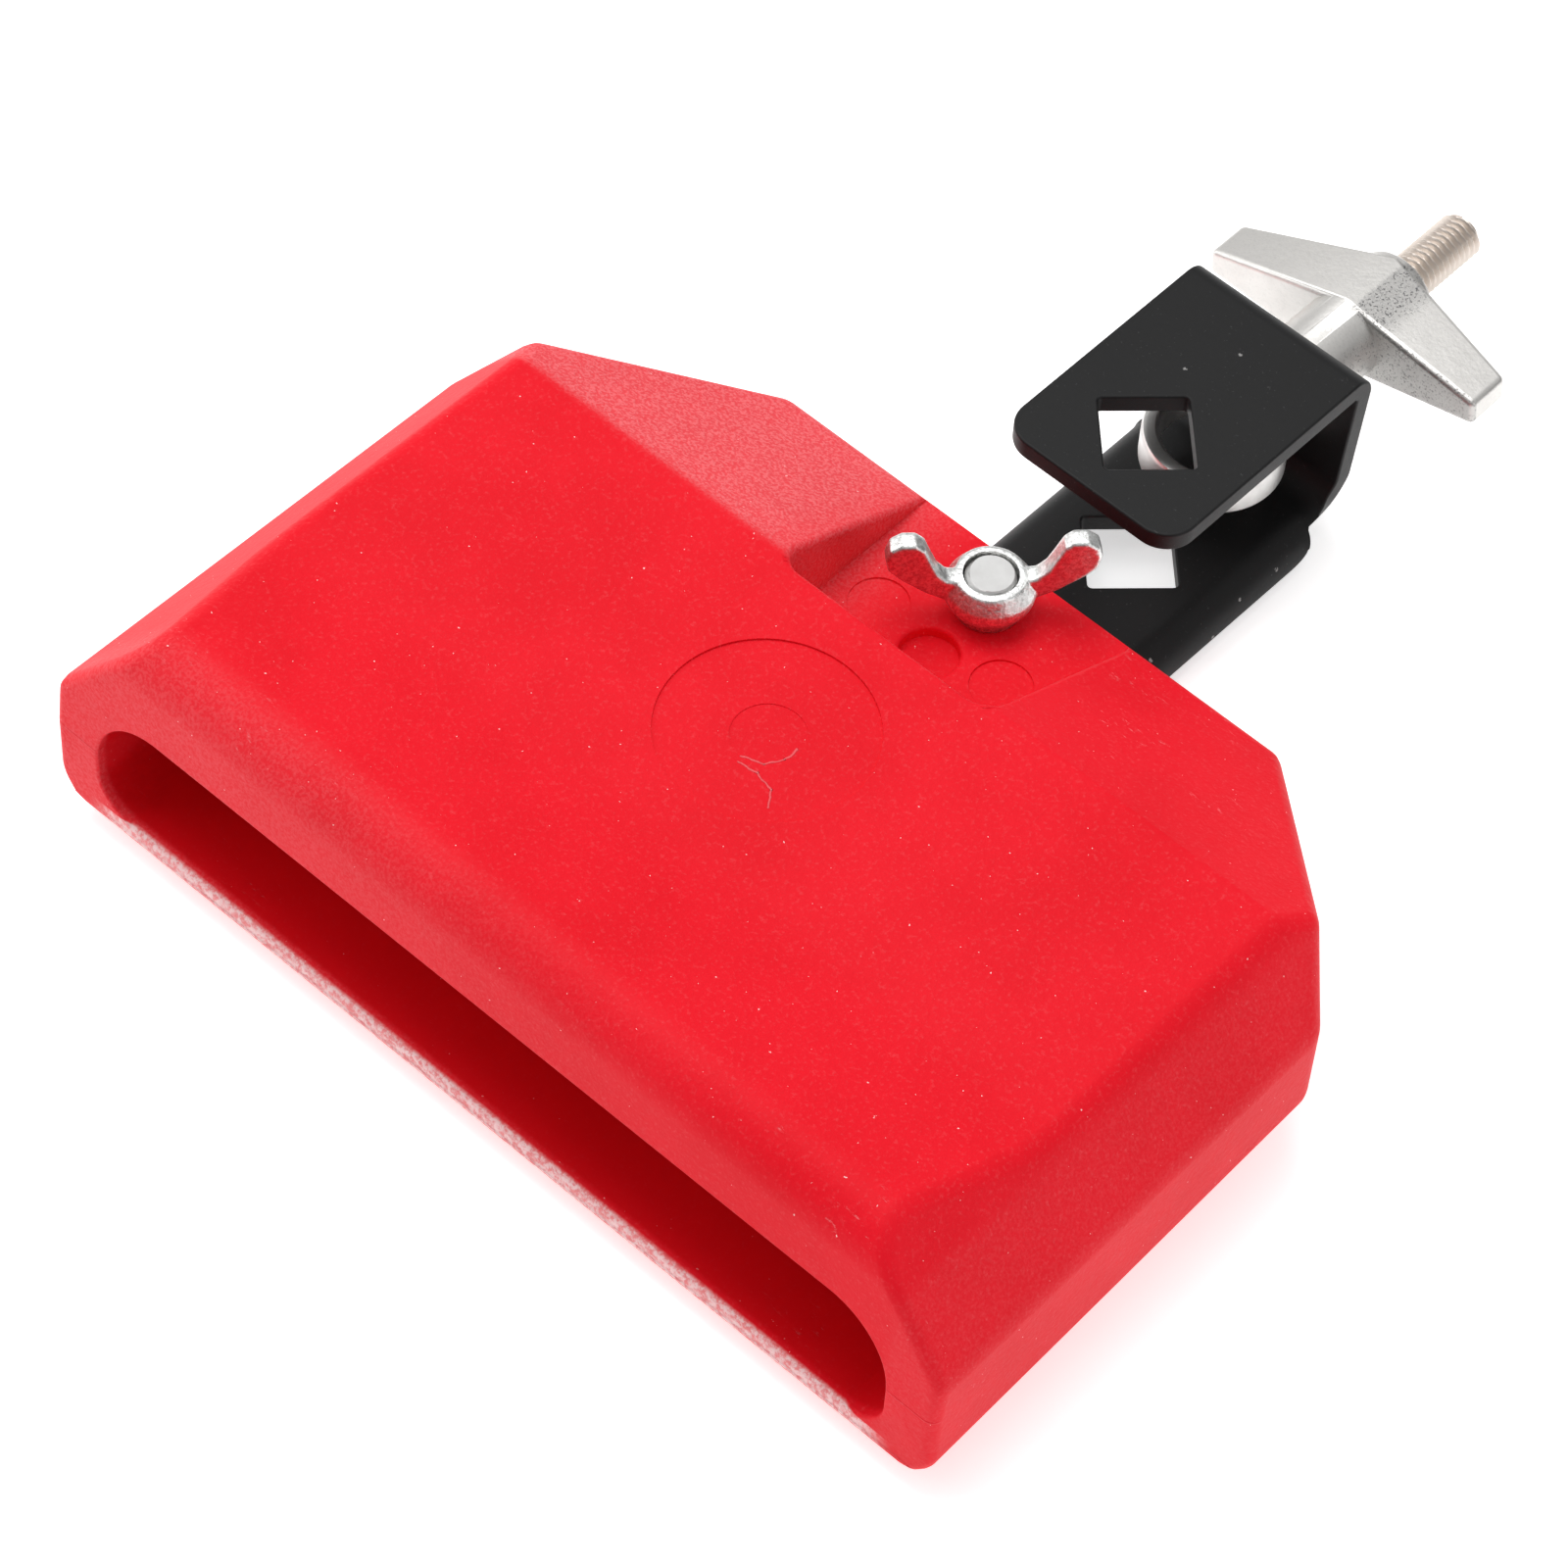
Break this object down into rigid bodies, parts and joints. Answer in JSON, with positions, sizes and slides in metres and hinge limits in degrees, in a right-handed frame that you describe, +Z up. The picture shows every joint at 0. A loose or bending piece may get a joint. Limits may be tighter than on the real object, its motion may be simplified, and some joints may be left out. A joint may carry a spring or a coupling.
{
  "type": "percussion jam block",
  "caption": "Moulded plastic percussion block with a long open sound slot, bolted to a bent steel bracket that clamps the rod of a stand with an eye bolt and a wing nut.",
  "frame": {"origin": "middle of the underside of the whole object's box, in the plane of the bolt head's lowest point", "axes": "+Z up, the normal of the struck face; +X along the sound slot; +Y from the slot towards the clamp's stud tip"},
  "size_m": [0.175, 0.227, 0.0476],
  "materials": {
    "red_plastic": "moulded, fine grain, satin",
    "black_powder_coat": "black powder coat, satin",
    "plated_steel": "zinc plated",
    "satin_nickel": "cast, satin nickel plated",
    "zinc_casting": "cast, bright zinc plated"
  },
  "bodies": {
    "block": {"block_body": "red_plastic"},
    "bracket": {"mounting_bracket": "black_powder_coat"},
    "eye": {"eye_bolt": "plated_steel"},
    "clamp_nut": {"clamp_wing_nut": "satin_nickel"},
    "bolt": {"carriage_bolt": "plated_steel"},
    "block_nut": {"block_wing_nut": "zinc_casting"}
  },
  "joints": [
    {"name": "bracket_swivel", "type": "hinge", "parent": "block", "child": "bracket", "pos_m": [0, -0.0035, 0.008], "axis": [0, 0, 1], "range_deg": [-45, 45]},
    {"name": "clamp_nut_turn", "type": "hinge", "parent": "bracket", "child": "clamp_nut", "pos_m": [0, 0.0663, 0.01825], "axis": [0, 1, 0], "range_deg": [0, 4723.2]},
    {"name": "eye_bolt_travel", "type": "slide", "parent": "bracket", "child": "eye", "axis": [0, 1, 0], "range_m": [-0.01645, 0]},
    {"name": "block_nut_turn", "type": "hinge", "parent": "bracket", "child": "block_nut", "pos_m": [0, -0.0035, 0.0261], "axis": [0, 0, 1], "range_deg": [0, 1008]},
    {"name": "carriage_bolt_drop", "type": "slide", "parent": "bracket", "child": "bolt", "axis": [0, 0, -1], "range_m": [0, 0.00352]}
  ],
  "couplings": [
    {"joint": "eye_bolt_travel", "follows": "clamp_nut_turn", "m_per_rad": -0.00019894},
    {"joint": "carriage_bolt_drop", "follows": "block_nut_turn", "m_per_rad": 0.00019894}
  ]
}
